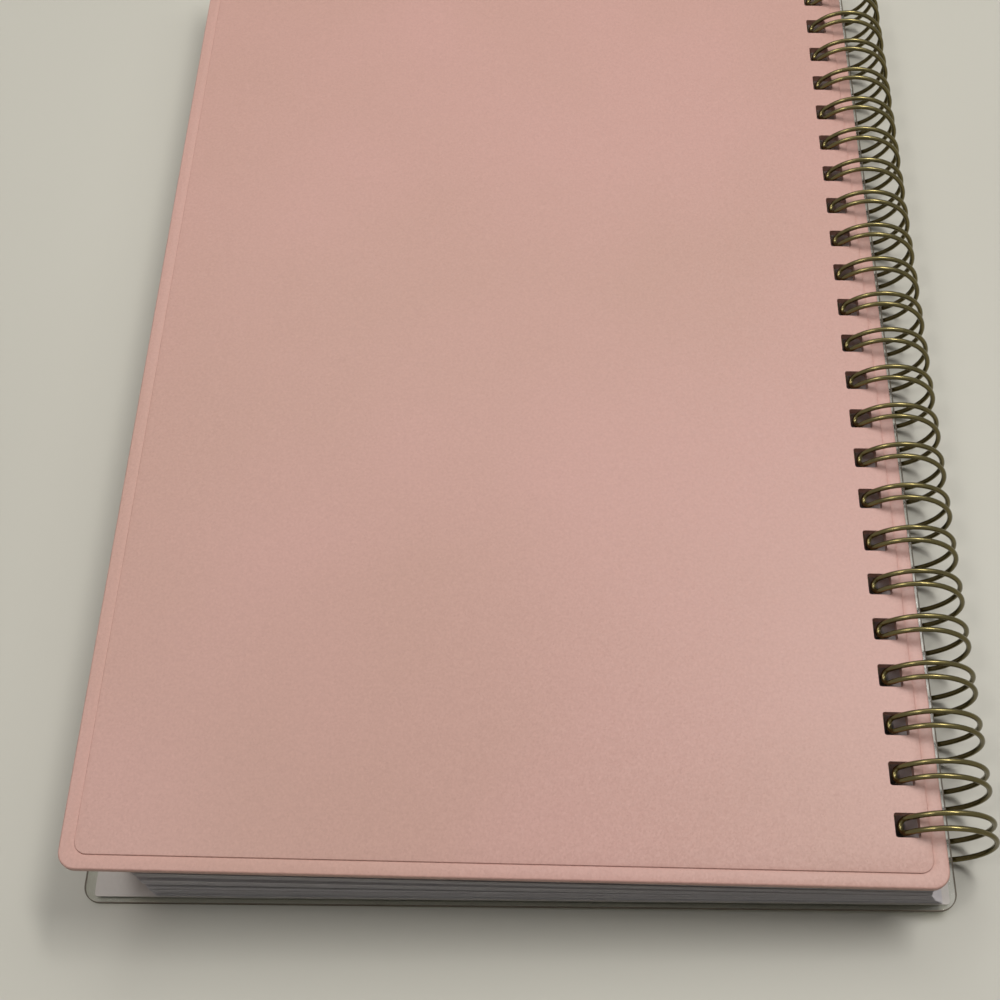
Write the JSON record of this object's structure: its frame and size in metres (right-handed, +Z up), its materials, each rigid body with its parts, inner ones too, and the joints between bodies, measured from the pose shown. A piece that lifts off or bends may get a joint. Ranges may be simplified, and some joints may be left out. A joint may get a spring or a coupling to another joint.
{
  "type": "weekly planner",
  "caption": "Wire-bound weekly planner lying face down: stiff pink back cover with a raised panel, fanned leaves, card and clear front sheet on a double-loop wire spine.",
  "frame": {"origin": "on the table, under the middle of the whole closed planner", "axes": "+Y along the spine towards the head, +X from the fore edge to the wire, +Z up; the planner lies on its front cover"},
  "size_m": [0.1506, 0.2154, 0.0202],
  "materials": {
    "pearl_board": "pale pink board with a pearl film laminate",
    "clear_film": "clear plastic sheet",
    "white_card": "uncoated white card",
    "paper": "uncoated white paper, cut edges",
    "bronze_wire": "antique bronze coated wire"
  },
  "bodies": {
    "book_block": {"page_block": "paper", "wire_binding": "bronze_wire"},
    "back_cover": {"back_cover": "pearl_board"},
    "front_cover": {"clear_sheet": "clear_film", "title_card": "white_card"}
  },
  "joints": [
    {"name": "back_cover_hinge", "type": "hinge", "parent": "book_block", "child": "back_cover", "pos_m": [0.06629, 0, 0.009], "axis": [0, 1, 0], "range_deg": [0, 179]},
    {"name": "front_cover_hinge", "type": "hinge", "parent": "book_block", "child": "front_cover", "pos_m": [0.06629, 0, 0.009], "axis": [0, -1, 0], "range_deg": [0, 180]}
  ]
}
